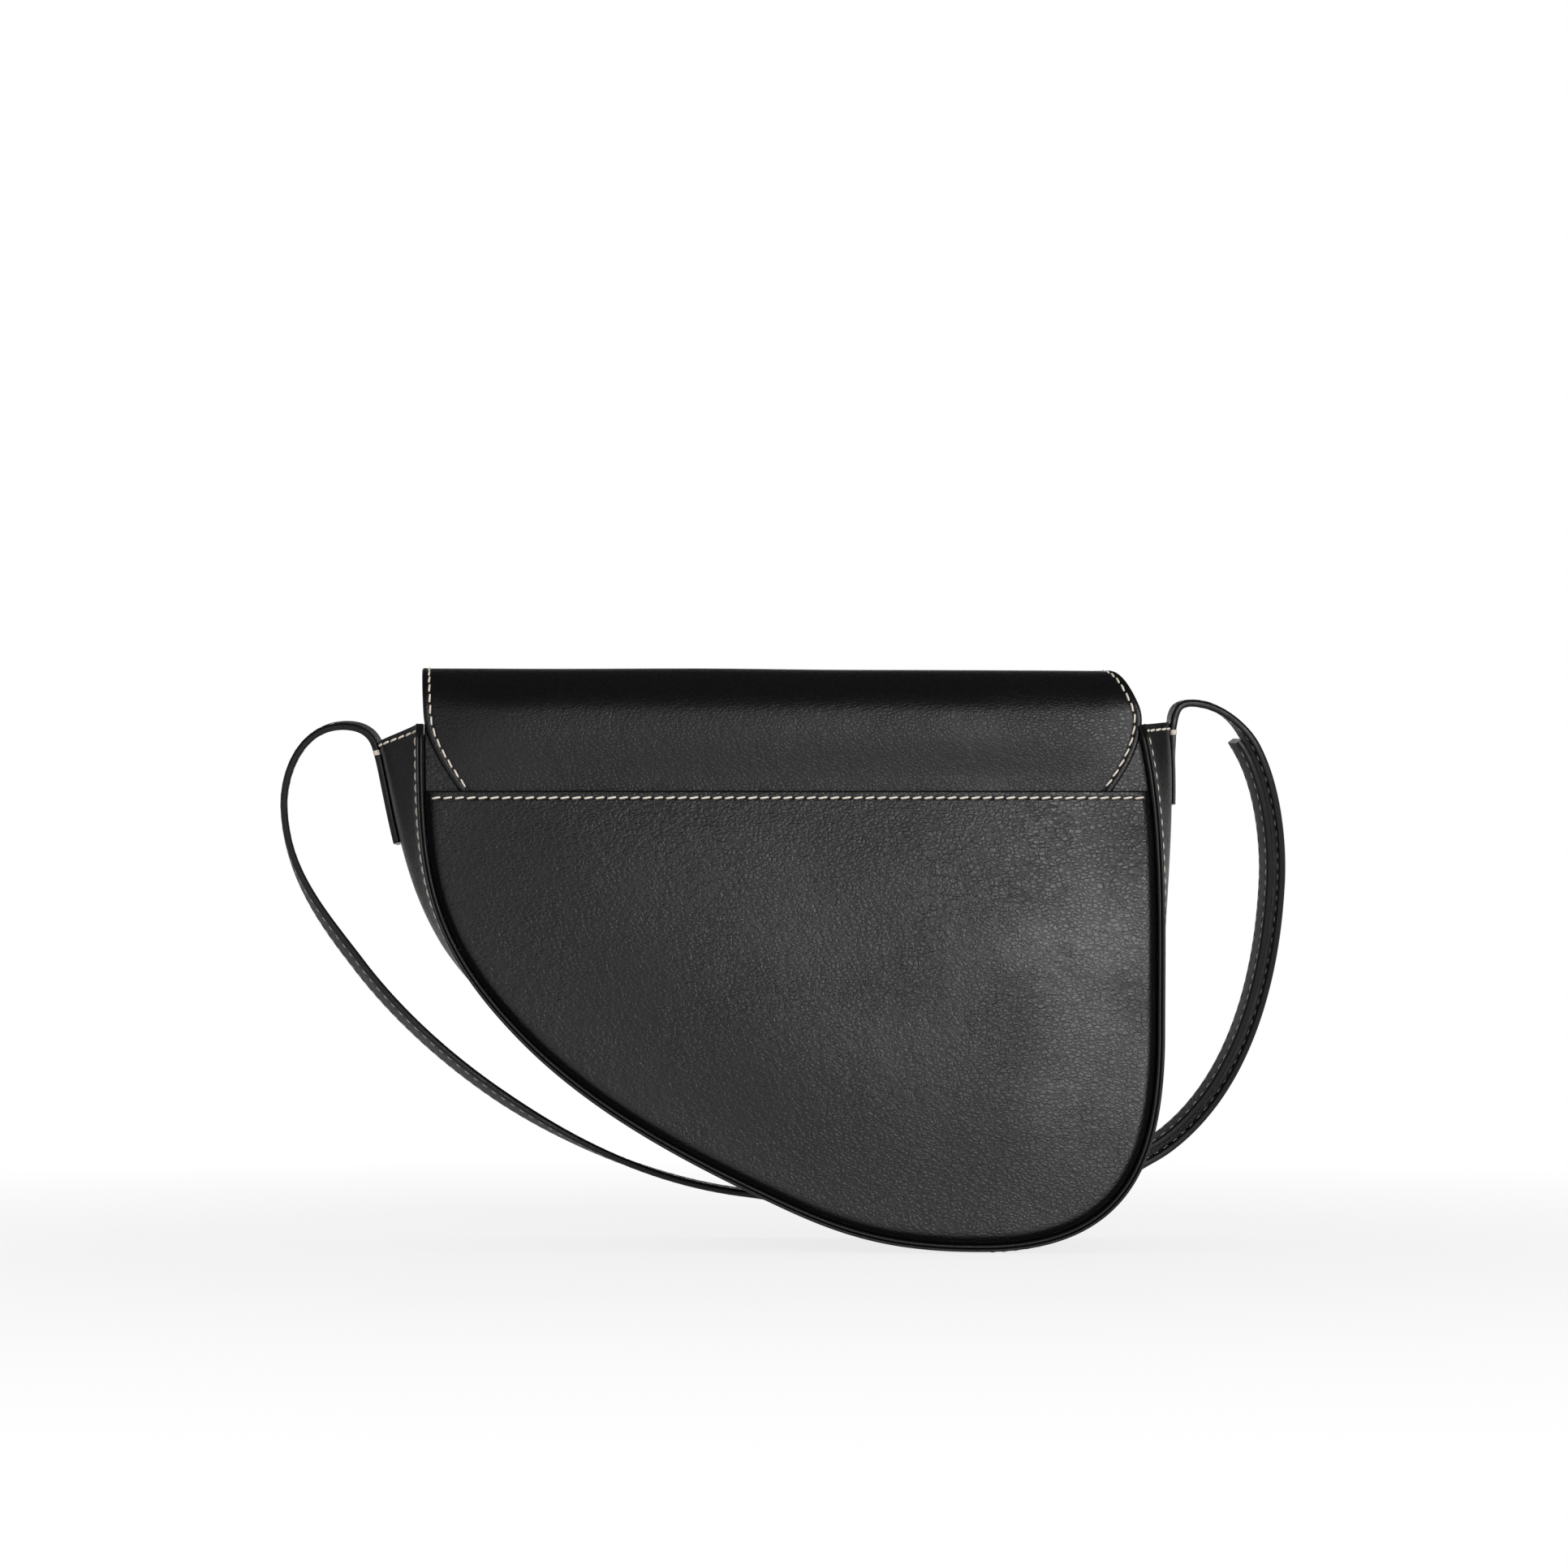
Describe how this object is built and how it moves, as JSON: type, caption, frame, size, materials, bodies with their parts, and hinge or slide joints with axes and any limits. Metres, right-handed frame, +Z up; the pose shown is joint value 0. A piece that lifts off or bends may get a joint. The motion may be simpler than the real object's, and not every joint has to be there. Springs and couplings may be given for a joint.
{
  "type": "saddle_handbag",
  "caption": "Black leather saddle handbag with cream stitching, a fold-over flap, a back slip pocket and a hanging buckled shoulder strap",
  "frame": {"origin": "Bottom centre of the bounding box: the lowest point of the rims, half way along the strap's width and half way from the rear rim to the buckle's front side.", "axes": "+X to the right as seen from the back, +Y from the back of the bag to its front, +Z up"},
  "size_m": [0.3678, 0.0971, 0.21],
  "materials": {
    "black_leather": "smooth full-grain leather, semi-matte",
    "painted_edge": "cut leather edge, painted and burnished",
    "lining_cloth": "woven cotton twill lining",
    "stiffener": "pressed bag board",
    "brass": "polished light brass",
    "cream_thread": "waxed cream sewing thread"
  },
  "bodies": {
    "pouch": {"back_panel": "black_leather", "back_pocket": "black_leather", "front_panel": "black_leather", "gusset": "black_leather", "back_welt": "painted_edge", "front_welt": "painted_edge", "back_board": "stiffener", "front_board": "stiffener", "back_lining": "lining_cloth", "front_lining": "lining_cloth", "gusset_lining": "lining_cloth", "inner_pocket": "lining_cloth", "inner_pocket_trim": "black_leather", "flap_tail": "black_leather", "strap_end_left": "black_leather", "strap_end_right": "black_leather", "snap_socket": "brass", "socket_washer": "brass"},
    "flap_crown": {"flap_crown": "black_leather", "flap_crown_lining": "lining_cloth"},
    "flap_front": {"flap_front": "black_leather", "flap_front_board": "stiffener", "flap_front_lining": "lining_cloth", "snap_stud": "brass", "stud_washer": "brass"},
    "strap": {"strap_long": "black_leather", "strap_short": "black_leather", "buckle_frame": "brass", "fixed_keeper": "black_leather"},
    "prong": {"buckle_prong": "brass"},
    "keeper": {"sliding_keeper": "black_leather"}
  },
  "joints": [
    {"name": "flap_root_hinge", "type": "hinge", "parent": "pouch", "child": "flap_crown", "pos_m": [0, -0.04395, 0.192], "axis": [1, 0, 0], "range_deg": [0, 110]},
    {"name": "flap_fold_hinge", "type": "hinge", "parent": "flap_crown", "child": "flap_front", "pos_m": [0, 0.02315, 0.192], "axis": [1, 0, 0], "range_deg": [0, 75]},
    {"name": "strap_swing", "type": "hinge", "parent": "pouch", "child": "strap", "pos_m": [-0.15993, -0.01255, 0.19013], "axis": [0.9997, 0, 0.0263], "range_deg": [0, 180]},
    {"name": "prong_hinge", "type": "hinge", "parent": "strap", "child": "prong", "pos_m": [0.06446, 0.03545, 0.01436], "axis": [0, 1, 0], "range_deg": [0, 25]},
    {"name": "keeper_slide", "type": "slide", "parent": "strap", "child": "keeper", "axis": [0.9962, 0, 0.0872], "range_m": [-0.006, 0.006]}
  ]
}
